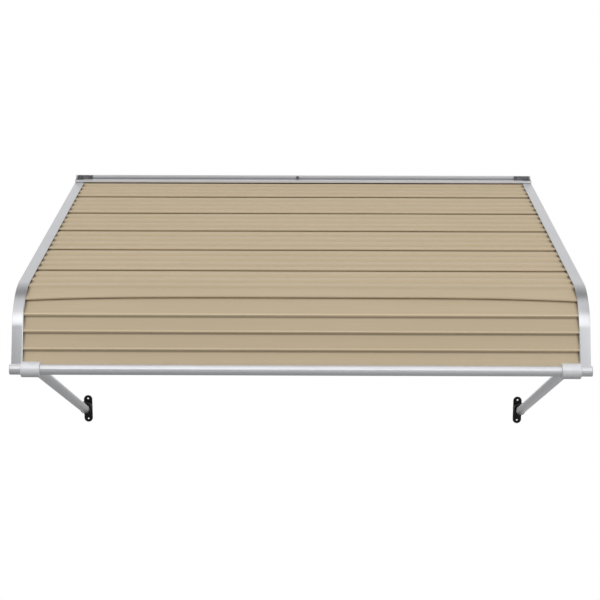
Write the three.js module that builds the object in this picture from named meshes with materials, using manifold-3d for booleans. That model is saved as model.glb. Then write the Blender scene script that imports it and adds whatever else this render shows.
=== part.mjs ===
// Solid door canopy: seven roll-formed slats between two bent rafters, a wall header above,
// a round front bar below, and two bent tube struts down to sockets on the wall.
// Millimetres, +Z up. The wall is the plane Y = 0 and the canopy stands out along -Y.
// The origin is the middle of the header's back face.
import * as THREE from 'three';
import * as BufferGeometryUtils from 'three/addons/utils/BufferGeometryUtils.js';
import Module from 'manifold-3d';

const wasm = await Module();
wasm.setup();

// Overall sizes
const canopyWidth = 1372;
const projection = 1092;
const slopeAngle = THREE.MathUtils.degToRad(7.14);
const frontAngle = THREE.MathUtils.degToRad(71.33);
const bendRadius = 130;
const frontLeg = 102.2;

// Rafters: channels that open inwards
const rafterFace = 26.7;
const rafterBack = 21;
const rafterWall = 1.6;
const rafterOverrun = 8;
const rafterWallGap = 6;

// Slats
const slatCount = 7;
const pansPerSlat = 4;
const sheetThickness = 0.8;
const panStep = 6.4;
const bevelRun = 5;
const firstNose = 28.9;
const firstSlatStart = 4;
const bendNoseLead = 16.4;
const bendJointEase = 1;
const bendJointDroop = 13;
const frontNoseLead = 31.2;
const hookReach = 9.3;
const hookTip = 3.3;
const troughWidth = 3.8;
const troughDrop = 5;
const lipReach = 2.6;
const lipDrop = 2.4;
const lipDepth = 5.4;
const hemReturn = 7;
const endHem = 5;
const noseRadius = 2.2;
const valleyRadius = 2.4;
const foldRadius = 1;
const foldSteps = 3;

// Wall header
const headerWall = 1.6;
const headerRise = 12.6;
const headerLedge = 26.6;
const headerLip = 6.4;

// Header end brackets
const bracketLength = 45;
const bracketHeight = 11.4;
const bracketInset = 5;
const bracketFootLength = 22;
const bracketFootDepth = 15;
const bracketPlate = 1.2;

// Front bar, collars and end plugs
const barDiameter = 25.4;
const tubeWall = 1.4;
const collarWall = 5.6;
const collarLength = 45;
const collarEdge = 1.6;
const plugFlange = 1.4;
const plugDepth = 9;
const plugEase = 0.9;

// Struts and their wall sockets
const strutDiameter = 25.4;
const strutBarInset = 64;
const strutBend = 45;
const strutStub = 26;
const spigotReach = 55;
const socketInset = 9.5;
const socketDrop = 711;
const socketPlate = 4;
const socketPlateWidth = 26;
const socketPlateHeight = 86;
const socketPlateShift = 5.5;
const socketPlateDrop = 6;
const socketHoleSpacing = 65;
const socketHole = 5.2;
const socketCupWall = 6;
const socketCupDepth = 15;

// Screws
const wallScrew = { head: 10, headHeight: 3.2, shank: 4.6 };
const smallScrew = { head: 7, headHeight: 2.2, shank: 3.4 };
const wallScrewInset = 45;
const centreScrewShift = -16.6;
const slatScrewInset = 12;
const crownEase = 1.1;

// Sides of the round pieces
const barSides = 24;
const strutSides = 24;
const cupSides = 24;
const smallSides = 10;

// Clearances
const seatGap = 0.3;
const noseGap = 0.5;
const slatEndGap = 2.5;
const lipGap = 0.6;
const slatRoom = 2;
const holeClearance = 0.3;

const cos = Math.cos;
const sin = Math.sin;
const tan = Math.tan;

// Sizes that follow from the ones above
const halfWidth = canopyWidth / 2;
const barRadius = barDiameter / 2;
const collarRadius = barRadius + seatGap + collarWall;
const strutRadius = strutDiameter / 2;
const cupRadius = strutRadius + seatGap + socketCupWall;
const slatDepth = panStep + troughDrop + sheetThickness;
const nosePathDepth = rafterWall + noseGap;
const rafterDepth = nosePathDepth + slatDepth + seatGap + rafterWall;
const barStandoff = barRadius + seatGap;
const collarHalfChord = Math.sqrt(collarRadius ** 2 - (barStandoff + nosePathDepth) ** 2);
const bendReach = bendRadius * (sin(frontAngle) - sin(slopeAngle));
const frontReach = frontLeg * cos(frontAngle) + barStandoff * sin(frontAngle) + barRadius;
const slopeRun = (projection - frontReach - bendReach) / cos(slopeAngle);
const bendRun = bendRadius * (frontAngle - slopeAngle);
const frontStart = slopeRun + bendRun;
const barRun = frontStart + frontLeg;
const bendNose = slopeRun + bendNoseLead;
const pansOnSlope = (slatCount - 2) * pansPerSlat + pansPerSlat - 2;
const panPitch = (bendNose - firstNose) / pansOnSlope;
const faceLength = panPitch - bevelRun;

const headerHeight = headerRise + headerLip + lipGap + rafterDepth / cos(slopeAngle) + seatGap + headerWall;
const headerTop = headerHeight / 2;
const ledgeZ = headerTop - headerRise;
const lipBottom = ledgeZ - headerLip;
const faceAtWall = lipBottom - lipGap + headerLedge * tan(slopeAngle);

// A point at a distance along the rafters' face line and at a depth below it.
function facePoint(run, depth) {
  const bent = Math.min(Math.max(run - slopeRun, 0), bendRun);
  const angle = slopeAngle + bent / bendRadius;
  const slope = Math.min(run, slopeRun);
  const front = Math.max(run - frontStart, 0);
  const bendOut = bendRadius * (sin(angle) - sin(slopeAngle));
  const bendDown = bendRadius * (cos(slopeAngle) - cos(angle));
  const out = slope * cos(slopeAngle) + bendOut + front * cos(frontAngle);
  const down = slope * sin(slopeAngle) + bendDown + front * sin(frontAngle);
  return {
    y: -out + depth * sin(angle),
    z: faceAtWall - down - depth * cos(angle),
    angle,
  };
}

// The direction out of the face at a distance along it.
function faceNormal(run) {
  const { angle } = facePoint(run, 0);
  return new THREE.Vector3(0, -sin(angle), cos(angle));
}

const barAxis = facePoint(barRun, -barStandoff);

const colours = {
  silver: { color: 0xc9cace, roughness: 0.38, metalness: 0.55 },
  tan: { color: 0xc1b096, roughness: 0.45, metalness: 0.1 },
  zinc: { color: 0x77797b, roughness: 0.5, metalness: 0.8 },
  steel: { color: 0x55585b, roughness: 0.4, metalness: 0.9 },
  black: { color: 0x161616, roughness: 0.55, metalness: 0 },
};

const canopy = new THREE.Group();
canopy.name = 'door_canopy';

function addMesh(name, geometry, finish) {
  const mesh = new THREE.Mesh(geometry, new THREE.MeshStandardMaterial(colours[finish]));
  mesh.name = name;
  canopy.add(mesh);
  return mesh;
}

function merged(geometry) {
  const bare = geometry.index ? geometry.clone() : BufferGeometryUtils.mergeVertices(geometry);
  bare.deleteAttribute('normal');
  bare.deleteAttribute('uv');
  return BufferGeometryUtils.mergeVertices(bare, 1e-4);
}

function toSolid(geometry) {
  const bare = merged(geometry);
  return new wasm.Manifold(
    new wasm.Mesh({
      numProp: 3,
      vertProperties: new Float32Array(bare.attributes.position.array),
      triVerts: new Uint32Array(bare.index.array),
    }),
  );
}

function toGeometry(solid) {
  const mesh = solid.getMesh();
  const geometry = new THREE.BufferGeometry();
  geometry.setAttribute('position', new THREE.BufferAttribute(new Float32Array(mesh.vertProperties), 3));
  geometry.setIndex(new THREE.BufferAttribute(new Uint32Array(mesh.triVerts), 1));
  geometry.computeVertexNormals();
  return geometry;
}

// Rounds the corners of an open line of [u, v, radius] points.
function roundedLine(corners) {
  const points = [];
  corners.forEach(([u, v, radius = 0], index) => {
    const here = new THREE.Vector2(u, v);
    if (radius === 0 || index === 0 || index === corners.length - 1) {
      points.push(here);
      return;
    }
    const before = new THREE.Vector2(...corners[index - 1].slice(0, 2)).sub(here).normalize();
    const after = new THREE.Vector2(...corners[index + 1].slice(0, 2)).sub(here).normalize();
    const halfTurn = before.angleTo(after) / 2;
    const centre = before.clone().add(after).normalize().multiplyScalar(radius / sin(halfTurn)).add(here);
    const first = before.multiplyScalar(radius / tan(halfTurn)).add(here).sub(centre);
    const last = after.multiplyScalar(radius / tan(halfTurn)).add(here).sub(centre);
    const turn = Math.atan2(first.cross(last), first.dot(last));
    for (let step = 0; step <= foldSteps; step += 1) {
      const spoke = first.clone().rotateAround(new THREE.Vector2(), (turn * step) / foldSteps);
      points.push(spoke.add(centre));
    }
  });
  return points;
}

// Gives an open line a thickness on its right-hand side and returns the closed outline.
function thickened(line, thickness) {
  const inner = line.map((point, index) => {
    const back = line[Math.max(index - 1, 0)];
    const ahead = line[Math.min(index + 1, line.length - 1)];
    const into = index > 0 ? point.clone().sub(back).normalize() : ahead.clone().sub(point).normalize();
    const outOf = index < line.length - 1 ? ahead.clone().sub(point).normalize() : into.clone();
    const bisector = into.clone().add(outOf).normalize();
    const reach = thickness / bisector.dot(into);
    return new THREE.Vector2(point.x - bisector.y * reach, point.y + bisector.x * reach);
  });
  return [...line, ...inner.reverse()];
}

// Joins equal-length rings of points into one closed solid.
function loft(rings, flatRing) {
  const count = flatRing.length;
  const positions = rings.flat().flatMap((point) => [point.x, point.y, point.z]);
  const index = [];
  for (let ring = 0; ring < rings.length - 1; ring += 1) {
    for (let point = 0; point < count; point += 1) {
      const next = (point + 1) % count;
      const a = ring * count + point;
      const b = ring * count + next;
      index.push(a, b, b + count, a, b + count, a + count);
    }
  }
  const last = (rings.length - 1) * count;
  const ringTurn = THREE.ShapeUtils.area(flatRing);
  for (const face of THREE.ShapeUtils.triangulateShape(flatRing, [])) {
    const faceTurn = THREE.ShapeUtils.area(face.map((at) => flatRing[at]));
    const [a, b, c] = ringTurn * faceTurn > 0 ? face : [...face].reverse();
    index.push(a, c, b, last + a, last + b, last + c);
  }
  const geometry = new THREE.BufferGeometry();
  geometry.setAttribute('position', new THREE.Float32BufferAttribute(positions, 3));
  geometry.setIndex(index);
  facingOut(geometry);
  geometry.computeVertexNormals();
  return geometry;
}

function facingOut(geometry) {
  const position = geometry.attributes.position;
  const index = geometry.index.array;
  const corner = (at) => new THREE.Vector3().fromBufferAttribute(position, index[at]);
  let volume = 0;
  for (let at = 0; at < index.length; at += 3) {
    volume += corner(at).dot(corner(at + 1).cross(corner(at + 2)));
  }
  if (volume < 0) {
    for (let at = 0; at < index.length; at += 3) {
      [index[at + 1], index[at + 2]] = [index[at + 2], index[at + 1]];
    }
  }
}

// A round bar along a curve, as a solid to join or cut.
function roundBar(curve, radius, steps, sides) {
  const shape = new THREE.Shape();
  shape.absarc(0, 0, radius, 0, 2 * Math.PI, false);
  const options = { steps, curveSegments: sides, bevelEnabled: false, extrudePath: curve };
  return toSolid(new THREE.ExtrudeGeometry(shape, options));
}

function straightBar(from, to, radius, sides) {
  return roundBar(new THREE.LineCurve3(from, to), radius, 1, sides);
}

function block(width, depth, height, x, y, z) {
  const geometry = new THREE.BoxGeometry(width, depth, height);
  geometry.translate(x, y, z);
  return toSolid(geometry);
}

// Screws point along +Y from their seat, with the head on the other side of it.
function screwGeometry({ head, headHeight, shank }, length) {
  const profile = [
    [0, -headHeight],
    [head / 2 - crownEase, -headHeight],
    [head / 2, crownEase - headHeight],
    [head / 2, 0],
    [shank / 2, 0],
    [shank / 2, length],
    [0, length],
  ];
  return new THREE.LatheGeometry(profile.map(([r, y]) => new THREE.Vector2(r, y)), smallSides);
}

function addScrew(name, kind, length, seat, direction) {
  const geometry = toGeometry(toSolid(screwGeometry(kind, length)));
  const mesh = addMesh(name, geometry, 'steel');
  mesh.position.copy(seat);
  mesh.quaternion.setFromUnitVectors(new THREE.Vector3(0, 1, 0), direction);
}

function screwHole(kind, seat, direction, before, after) {
  const from = seat.clone().addScaledVector(direction, -before);
  const to = seat.clone().addScaledVector(direction, after);
  return straightBar(from, to, kind.shank / 2 + holeClearance, smallSides);
}

// Slats. Each one is a sheet bent into pans that rise to a rounded nose and drop by a bevel.
const slatHalf = halfWidth - rafterWall - slatEndGap;
const faceRise = panStep / faceLength;
const frontNoses = frontStart - frontNoseLead;

function slatNoses(slat) {
  const noses = [];
  for (let pan = 0; pan < pansPerSlat; pan += 1) {
    const onSlope = firstNose + (slat * pansPerSlat + pan) * panPitch;
    noses.push(slat < slatCount - 1 ? onSlope : frontNoses + pan * panPitch);
  }
  return noses;
}

function bendJoint(spread) {
  return bendNose + panPitch + bendJointEase + bendJointDroop * spread ** 4;
}

// How far slat 6's last pan, which is flat, lies below the round of the bend, at a distance from its nose.
function chordDrop(nose, distance) {
  const chord = nose - bendNose - bevelRun;
  return (distance * (chord - distance)) / (2 * bendRadius);
}

// The sheet's outer line as [run, depth, radius], for one place across the canopy. Its upper end is
// a hooked trough that stands behind the hem of the slat above; its lower end is a lip and a hem.
function slatLine(slat, spread) {
  const isFirst = slat === 0;
  const isLast = slat === slatCount - 1;
  const noses = slatNoses(slat);
  const start = isLast ? bendJoint(spread) : noses[0] - panPitch;
  if (slat === slatCount - 2) {
    noses[pansPerSlat - 1] = bendJoint(spread);
  }
  const trim = barRun - collarHalfChord - slatRoom;
  const shown = isLast ? noses.filter((nose) => nose + bevelRun < trim) : noses;
  const line = [];
  if (isFirst) {
    const depth = (noses[0] - firstSlatStart) * faceRise;
    line.push([firstSlatStart, slatDepth], [firstSlatStart, depth, foldRadius]);
  } else {
    const hook = start - hookReach;
    const trough = panStep + troughDrop;
    const rim = hook + troughWidth;
    const depth = (panStep * (noses[0] - rim)) / (noses[0] - start - bevelRun);
    const tip = hookTip + (isLast ? chordDrop(start, hookReach) : 0);
    line.push([hook, tip], [hook, trough, foldRadius], [rim, trough, foldRadius], [rim, depth, foldRadius]);
  }
  shown.forEach((nose, pan) => {
    line.push([nose, 0, noseRadius]);
    if (isLast || pan < pansPerSlat - 1) {
      line.push([nose + bevelRun, panStep, valleyRadius]);
    }
  });
  const end = shown[shown.length - 1];
  if (isLast) {
    const depth = panStep - (trim - end - bevelRun) * faceRise;
    line.push([trim, depth, foldRadius], [trim, depth + endHem]);
  } else {
    line.push([end + lipReach, lipDrop, foldRadius], [end + lipReach, lipDepth, foldRadius]);
    line.push([end - hemReturn, lipDepth]);
  }
  return line;
}

function slatRing(slat, x) {
  const corners = slatLine(slat, x / slatHalf).map(([run, depth, radius]) => {
    const { y, z } = facePoint(run, nosePathDepth + depth);
    return [-y, z, radius];
  });
  return thickened(roundedLine(corners), -sheetThickness);
}

function addSlats() {
  const bentStations = [0.45, 0.7, 0.87, 1];
  for (let slat = 0; slat < slatCount; slat += 1) {
    const followsBend = slat >= slatCount - 2;
    const half = followsBend ? bentStations : [1];
    const middle = followsBend ? [0] : [];
    const stations = [...half.map((share) => -share).reverse(), ...middle, ...half];
    const rings = stations.map((share) => {
      const x = share * slatHalf;
      return slatRing(slat, x).map((point) => new THREE.Vector3(x, -point.x, point.y));
    });
    addMesh(`slat_${slat + 1}`, loft(rings, slatRing(slat, 0)), 'tan');
  }
}

// Where the screw that holds a slat's end passes through the back of the rafter.
function slatScrewSeat(slat, side) {
  const run = slatNoses(slat)[1] + bevelRun;
  const { y, z } = facePoint(run, rafterDepth);
  return { seat: new THREE.Vector3(side * (halfWidth - slatScrewInset), y, z), direction: faceNormal(run) };
}

const slatScrewLength = rafterDepth - nosePathDepth - panStep - sheetThickness - seatGap;

// The screw that holds the bar stands in the rafter and points forward into the bar.
function barScrewSeat(side) {
  const { y, z } = facePoint(barRun, rafterWall);
  const seat = new THREE.Vector3(side * (halfWidth - rafterFace / 2), y, z);
  return { seat, direction: faceNormal(barRun) };
}

const barScrewLength = rafterWall + seatGap + tubeWall + 4;

// The screw that holds the rafter in the header comes up through the header's lower leg.
const headerFoot = -headerTop + headerWall;
function rafterScrewSeat(side) {
  const x = side * (halfWidth - slatScrewInset);
  return { seat: new THREE.Vector3(x, -headerLedge / 2, -headerTop), direction: new THREE.Vector3(0, 0, 1) };
}

const rafterScrewLength = headerWall + headerLedge * tan(slopeAngle) + seatGap + rafterWall + 2;

function addRafter(side, name) {
  const section = [
    [0, 0],
    [rafterFace, 0],
    [rafterFace, rafterWall],
    [rafterWall, rafterWall],
    [rafterWall, rafterDepth - rafterWall],
    [rafterBack, rafterDepth - rafterWall],
    [rafterBack, rafterDepth],
    [0, rafterDepth],
  ];
  const runs = [rafterWallGap];
  const bendSteps = 12;
  for (let step = 0; step <= bendSteps; step += 1) {
    runs.push(slopeRun + (bendRun * step) / bendSteps);
  }
  runs.push(barRun + rafterOverrun);
  const rings = runs.map((run) =>
    section.map(([inset, depth]) => {
      const { y, z } = facePoint(run, depth);
      return new THREE.Vector3(side * (halfWidth - inset), y, z);
    }),
  );
  let solid = toSolid(loft(rings, section.map(([u, v]) => new THREE.Vector2(u, v))));
  for (let slat = 0; slat < slatCount; slat += 1) {
    const { seat, direction } = slatScrewSeat(slat, side);
    solid = solid.subtract(screwHole(smallScrew, seat, direction, 1, rafterWall + 1));
  }
  const bar = barScrewSeat(side);
  solid = solid.subtract(screwHole(smallScrew, bar.seat, bar.direction, 1, rafterWall + 1));
  const top = rafterScrewSeat(side);
  solid = solid.subtract(screwHole(smallScrew, top.seat, top.direction, 0, rafterScrewLength + 1));
  addMesh(`rafter_${name}`, toGeometry(solid), 'silver');
}

function wallScrewSeat(x, standoff) {
  const z = ledgeZ + wallScrew.head / 2 + seatGap;
  return new THREE.Vector3(x, -headerWall - standoff, z);
}

const intoWall = new THREE.Vector3(0, 1, 0);
const wallScrews = [
  { name: 'left', x: -(halfWidth - wallScrewInset), standoff: seatGap + bracketPlate },
  { name: 'centre', x: centreScrewShift, standoff: 0 },
  { name: 'right', x: halfWidth - wallScrewInset, standoff: seatGap + bracketPlate },
];

function addHeader() {
  const outline = [
    [0, headerTop],
    [headerWall, headerTop],
    [headerWall, ledgeZ],
    [headerLedge, ledgeZ],
    [headerLedge, lipBottom],
    [headerLedge - headerWall, lipBottom],
    [headerLedge - headerWall, ledgeZ - headerWall],
    [headerWall, ledgeZ - headerWall],
    [headerWall, headerFoot],
    [headerLedge, headerFoot],
    [headerLedge, -headerTop],
    [0, -headerTop],
  ];
  const rings = [-halfWidth, halfWidth].map((x) => outline.map(([out, z]) => new THREE.Vector3(x, -out, z)));
  let solid = toSolid(loft(rings, outline.map(([u, v]) => new THREE.Vector2(u, v))));
  for (const { x, standoff } of wallScrews) {
    const seat = wallScrewSeat(x, standoff);
    solid = solid.subtract(screwHole(wallScrew, seat, intoWall, 0, headerWall + standoff + 1));
  }
  for (const side of [-1, 1]) {
    const { seat, direction } = rafterScrewSeat(side);
    solid = solid.subtract(screwHole(smallScrew, seat, direction, 1, headerWall + 1));
  }
  addMesh('wall_header', toGeometry(solid), 'silver');
}

function addBracket(side, name) {
  const legFront = -headerWall - seatGap - bracketPlate;
  const legMiddle = side * (halfWidth - bracketInset - bracketLength / 2);
  const footMiddle = side * (halfWidth - bracketFootLength / 2 - seatGap);
  const footZ = ledgeZ + seatGap + bracketPlate / 2;
  const legZ = ledgeZ + seatGap + bracketHeight / 2;
  const footY = -headerWall - seatGap - bracketFootDepth / 2;
  const legY = legFront + bracketPlate / 2;
  const leg = block(bracketLength, bracketPlate, bracketHeight, legMiddle, legY, legZ);
  const foot = block(bracketFootLength, bracketFootDepth, bracketPlate, footMiddle, footY, footZ);
  let solid = leg.add(foot);
  const screw = wallScrews.find((entry) => Math.sign(entry.x) === side);
  const seat = wallScrewSeat(screw.x, screw.standoff);
  solid = solid.subtract(screwHole(wallScrew, seat, intoWall, 1, screw.standoff + 1));
  addMesh(`header_bracket_${name}`, toGeometry(solid), 'zinc');
}

function addScrews() {
  for (const { name, x, standoff } of wallScrews) {
    addScrew(`header_screw_${name}`, wallScrew, headerWall + standoff, wallScrewSeat(x, standoff), intoWall);
  }
  for (const [side, name] of sides) {
    const top = rafterScrewSeat(side);
    addScrew(`rafter_screw_${name}`, smallScrew, rafterScrewLength, top.seat, top.direction);
    for (let slat = 0; slat < slatCount; slat += 1) {
      const { seat, direction } = slatScrewSeat(slat, side);
      addScrew(`slat_screw_${slat + 1}_${name}`, smallScrew, slatScrewLength, seat, direction);
    }
    const bar = barScrewSeat(side);
    addScrew(`bar_screw_${name}`, smallScrew, barScrewLength, bar.seat, bar.direction);
    const collar = collarScrewSeat(side);
    addScrew(`collar_screw_${name}`, smallScrew, collarScrewLength, collar.seat, collar.direction);
  }
}

// Collars sit on the bar against the rafters' inner edges.
const collarOuter = halfWidth - rafterFace - seatGap;
const collarScrewLength = collarRadius - barRadius + tubeWall + 3;

function collarScrewSeat(side) {
  const x = side * (collarOuter - 12);
  const direction = new THREE.Vector3(0, -1, 0);
  return { seat: new THREE.Vector3(x, barAxis.y + collarRadius, barAxis.z), direction };
}

function addCollar(side, name) {
  const bore = barRadius + seatGap;
  const profile = [
    [0, 0],
    [collarRadius - collarEdge, 0],
    [collarRadius - collarEdge * 0.3, collarEdge * 0.3],
    [collarRadius, collarEdge],
    [collarRadius, collarLength - 0.8],
    [collarRadius - 0.8, collarLength],
    [0, collarLength],
  ];
  const geometry = new THREE.LatheGeometry(profile.map(([r, y]) => new THREE.Vector2(r, y)), barSides);
  geometry.rotateZ((side * Math.PI) / 2);
  geometry.translate(side * collarOuter, barAxis.y, barAxis.z);
  const { bar, along } = strutLine(side);
  const spigotEnd = bar.clone().addScaledVector(along, -spigotReach);
  const barSpace = straightBar(
    new THREE.Vector3(-canopyWidth, barAxis.y, barAxis.z),
    new THREE.Vector3(canopyWidth, barAxis.y, barAxis.z),
    bore,
    barSides,
  );
  const { seat, direction } = collarScrewSeat(side);
  const solid = toSolid(geometry)
    .add(straightBar(spigotEnd, bar, strutRadius - tubeWall - seatGap, strutSides))
    .subtract(barSpace)
    .subtract(screwHole(smallScrew, seat, direction, 2, collarRadius - 2));
  addMesh(`bar_collar_${name}`, toGeometry(solid), 'silver');
}

// The bar and its plugs end flush with the rafters' outer faces.
const barEnd = halfWidth - seatGap - plugFlange;

function addBar() {
  const reach = new THREE.Vector3(barEnd, barAxis.y, barAxis.z);
  const from = new THREE.Vector3(-barEnd, barAxis.y, barAxis.z);
  let solid = straightBar(from, reach, barRadius, barSides);
  const boreFrom = from.clone().setX(-halfWidth);
  const boreTo = reach.clone().setX(halfWidth);
  solid = solid.subtract(straightBar(boreFrom, boreTo, barRadius - tubeWall, barSides));
  for (const side of [-1, 1]) {
    const bar = barScrewSeat(side);
    solid = solid.subtract(screwHole(smallScrew, bar.seat, bar.direction, 0, barScrewLength + 2));
    const collar = collarScrewSeat(side);
    solid = solid.subtract(screwHole(smallScrew, collar.seat, collar.direction, 0, collarScrewLength + 2));
  }
  addMesh('front_bar', toGeometry(solid), 'silver');
}

function addPlug(side, name) {
  const fit = barRadius - tubeWall - seatGap;
  const profile = [
    [0, -plugDepth],
    [fit, -plugDepth],
    [fit, seatGap],
    [barRadius, seatGap],
    [barRadius, seatGap + plugFlange - plugEase],
    [barRadius - plugEase, seatGap + plugFlange],
    [0, seatGap + plugFlange],
  ];
  const lathe = new THREE.LatheGeometry(profile.map(([r, y]) => new THREE.Vector2(r, y)), barSides);
  const geometry = toGeometry(toSolid(lathe));
  const mesh = addMesh(`bar_plug_${name}`, geometry, 'silver');
  mesh.position.set(side * barEnd, barAxis.y, barAxis.z);
  mesh.quaternion.setFromUnitVectors(new THREE.Vector3(0, 1, 0), new THREE.Vector3(side, 0, 0));
}

// Struts run straight from the bar and bend to meet the wall squarely.
function strutLine(side) {
  const socket = new THREE.Vector3(side * (halfWidth - socketInset), -socketPlate - seatGap, -socketDrop);
  const bar = new THREE.Vector3(side * (halfWidth - strutBarInset), barAxis.y, barAxis.z);
  const corner = socket.clone().add(new THREE.Vector3(0, -strutStub, 0));
  const along = bar.clone().sub(corner).normalize();
  return { socket, bar, corner, along };
}

function strutCurve(side, startExtra, endExtra) {
  const { socket, bar, corner, along } = strutLine(side);
  const outward = new THREE.Vector3(0, -1, 0);
  const turn = outward.angleTo(along);
  const tangent = strutBend * tan(turn / 2);
  const bendFrom = corner.clone().addScaledVector(outward, -tangent);
  const bendTo = corner.clone().addScaledVector(along, tangent);
  const inward = along.clone().addScaledVector(outward, -along.dot(outward)).normalize();
  const centre = bendFrom.clone().addScaledVector(inward, strutBend);
  const points = [socket.clone().addScaledVector(outward, -startExtra), bendFrom];
  const steps = 5;
  for (let step = 1; step < steps; step += 1) {
    const angle = (turn * step) / steps;
    const spoke = inward.clone().multiplyScalar(-cos(angle)).addScaledVector(outward, sin(angle));
    points.push(centre.clone().addScaledVector(spoke, strutBend));
  }
  points.push(bendTo, bar.clone().addScaledVector(along, endExtra));
  return points;
}

// A round bar through a list of points, with a mitred ring at each inner one.
function bentBar(points, radius, sides) {
  const ring = [];
  for (let side = 0; side < sides; side += 1) {
    const angle = (2 * Math.PI * side) / sides;
    ring.push(new THREE.Vector2(radius * cos(angle), radius * sin(angle)));
  }
  const acrossStart = new THREE.Vector3(1, 0, 0);
  const rings = points.map((point, index) => {
    const into = point.clone().sub(points[Math.max(index - 1, 0)]).normalize();
    const outOf = points[Math.min(index + 1, points.length - 1)].clone().sub(point).normalize();
    const axis = index === 0 ? outOf : into.clone();
    const miter = index === 0 || index === points.length - 1 ? axis : into.clone().add(outOf).normalize();
    const across = acrossStart.clone().addScaledVector(axis, -acrossStart.dot(axis)).normalize();
    const up = axis.clone().cross(across);
    return ring.map(({ x, y }) => {
      const spoke = across.clone().multiplyScalar(x).addScaledVector(up, y);
      const slide = -spoke.dot(miter) / axis.dot(miter);
      return point.clone().add(spoke).addScaledVector(axis, slide);
    });
  });
  return toSolid(loft(rings, ring));
}

function addStrut(side, name) {
  let solid = bentBar(strutCurve(side, 0, 0), strutRadius, strutSides);
  solid = solid.subtract(bentBar(strutCurve(side, 2, 2), strutRadius - tubeWall, strutSides));
  const collarSpace = straightBar(
    new THREE.Vector3(-canopyWidth, barAxis.y, barAxis.z),
    new THREE.Vector3(canopyWidth, barAxis.y, barAxis.z),
    collarRadius + seatGap,
    barSides,
  );
  addMesh(`strut_${name}`, toGeometry(solid.subtract(collarSpace)), 'silver');
}

function capsule(width, height, x, z) {
  const shape = new THREE.Shape();
  const rise = height / 2 - width / 2;
  shape.absarc(x, z + rise, width / 2, 0, Math.PI, false);
  shape.absarc(x, z - rise, width / 2, Math.PI, 2 * Math.PI, false);
  shape.closePath();
  return shape;
}

function plateSolid(shape) {
  const options = { depth: socketPlate, curveSegments: 10, bevelEnabled: false };
  const geometry = new THREE.ExtrudeGeometry(shape, options);
  geometry.rotateX(Math.PI / 2);
  return toSolid(geometry);
}

function addSocket(side, name) {
  const x = side * (halfWidth - socketInset);
  const plateX = x - side * socketPlateShift;
  const wallPoint = (out) => new THREE.Vector3(x, -out, -socketDrop);
  const plateZ = -socketDrop - socketPlateDrop;
  const plate = plateSolid(capsule(socketPlateWidth, socketPlateHeight, plateX, plateZ));
  const cupTip = socketPlate + socketCupDepth;
  const cup = straightBar(wallPoint(0), wallPoint(cupTip), cupRadius, cupSides);
  const boreRadius = strutRadius + seatGap;
  const cupBore = straightBar(wallPoint(socketPlate), wallPoint(cupTip + 1), boreRadius, cupSides);
  let solid = plate.add(cup).subtract(cupBore);
  for (const end of [-1, 1]) {
    const holeZ = plateZ + (end * socketHoleSpacing) / 2;
    const from = new THREE.Vector3(plateX, 1, holeZ);
    const to = new THREE.Vector3(plateX, -socketPlate - 1, holeZ);
    solid = solid.subtract(straightBar(from, to, socketHole / 2, smallSides));
  }
  addMesh(`wall_socket_${name}`, toGeometry(solid), 'black');
}

const sides = [[-1, 'left'], [1, 'right']];

addHeader();
addSlats();
addBar();
for (const [side, name] of sides) {
  addRafter(side, name);
  addBracket(side, name);
  addCollar(side, name);
  addPlug(side, name);
  addStrut(side, name);
  addSocket(side, name);
}
addScrews();

export default canopy;
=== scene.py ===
"""Looks of a solid door canopy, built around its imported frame. Metres, +Z up, the wall is the plane Y = 0."""

import math

import bpy
from mathutils import Matrix, Vector, noise


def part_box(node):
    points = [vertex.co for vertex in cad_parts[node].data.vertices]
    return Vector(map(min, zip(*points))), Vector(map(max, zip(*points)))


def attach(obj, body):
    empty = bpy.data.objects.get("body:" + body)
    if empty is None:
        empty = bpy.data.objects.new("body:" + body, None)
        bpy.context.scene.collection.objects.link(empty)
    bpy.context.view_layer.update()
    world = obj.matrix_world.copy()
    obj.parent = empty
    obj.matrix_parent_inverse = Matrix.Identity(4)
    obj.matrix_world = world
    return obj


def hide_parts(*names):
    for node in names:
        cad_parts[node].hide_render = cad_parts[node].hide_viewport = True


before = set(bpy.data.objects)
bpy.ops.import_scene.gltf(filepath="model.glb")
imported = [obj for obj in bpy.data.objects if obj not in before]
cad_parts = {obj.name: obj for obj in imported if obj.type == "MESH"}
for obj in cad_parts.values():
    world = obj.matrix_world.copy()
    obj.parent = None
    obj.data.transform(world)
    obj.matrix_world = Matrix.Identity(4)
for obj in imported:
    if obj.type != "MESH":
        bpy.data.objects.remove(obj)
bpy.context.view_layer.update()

# Canopy sizes, the same ones that drive the frame
SLOPE_ANGLE = math.radians(7.14)
FRONT_ANGLE = math.radians(71.33)
BEND_RADIUS = 0.130
FRONT_LEG = 0.1022
PROJECTION = 1.092
RAFTER_FACE = 0.0267
RAFTER_BACK = 0.021
RAFTER_WALL = 0.0016
RAFTER_OVERRUN = 0.008
RAFTER_WALL_GAP = 0.006
LIP_WIDTH = 0.0022
LIP_FALL = 0.0009

SLATS = 7
PANS = 4
SHEET = 0.0008
PAN_STEP = 0.0064
BEVEL_RUN = 0.005
FIRST_NOSE = 0.0289
FIRST_SLAT_START = 0.004
BEND_NOSE_LEAD = 0.0164
JOINT_EASE = 0.001
JOINT_DROOP = 0.013
FRONT_NOSE_LEAD = 0.0312
HOOK_REACH = 0.0093
HOOK_TIP = 0.0033
TROUGH_WIDTH = 0.0038
TROUGH_DROP = 0.005
LIP_REACH = 0.0026
LIP_DROP = 0.0024
LIP_DEPTH = 0.0054
HEM_RETURN = 0.007
END_HEM = 0.005
NOSE_RADIUS = 0.0022
VALLEY_RADIUS = 0.0024
FOLD_RADIUS = 0.001
SLAT_ROOM = 0.002
NOSE_GAP = 0.0005
SLAT_END_GAP = 0.0025

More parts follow.
